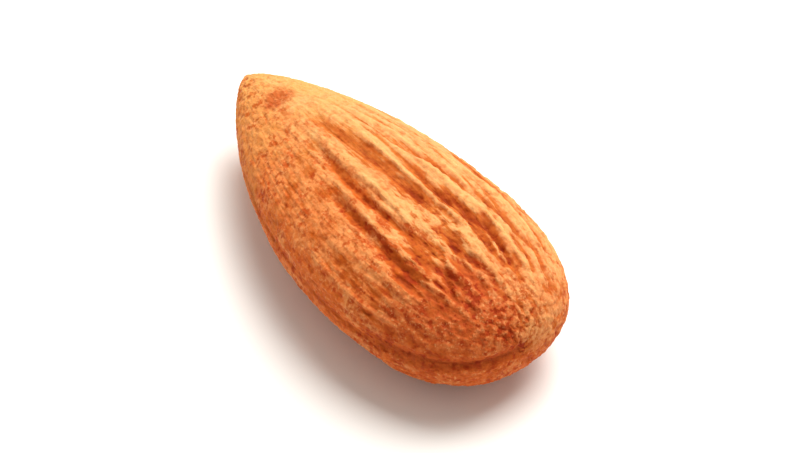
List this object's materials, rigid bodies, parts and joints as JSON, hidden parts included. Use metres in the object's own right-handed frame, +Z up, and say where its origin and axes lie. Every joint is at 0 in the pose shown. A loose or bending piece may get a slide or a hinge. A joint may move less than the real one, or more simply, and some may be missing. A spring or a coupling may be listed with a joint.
{
  "type": "almond kernel",
  "caption": "Shelled almond kernel in its wrinkled brown skin, pointed at one end and round at the other, lying on a small flat spot.",
  "frame": {"origin": "on the surface that the kernel lies on, under the middle of its bounding box", "axes": "+X runs from the pointed tip to the round end, +Y across the width, +Z up through the thickness"},
  "size_m": [0.026, 0.0126, 0.0081],
  "materials": {
    "almond_skin": "matt brown seed skin with long folds, lighter on the crests and redder in the grooves, finely granular all over"
  },
  "bodies": {
    "root": {"kernel": "almond_skin"}
  },
  "joints": []
}
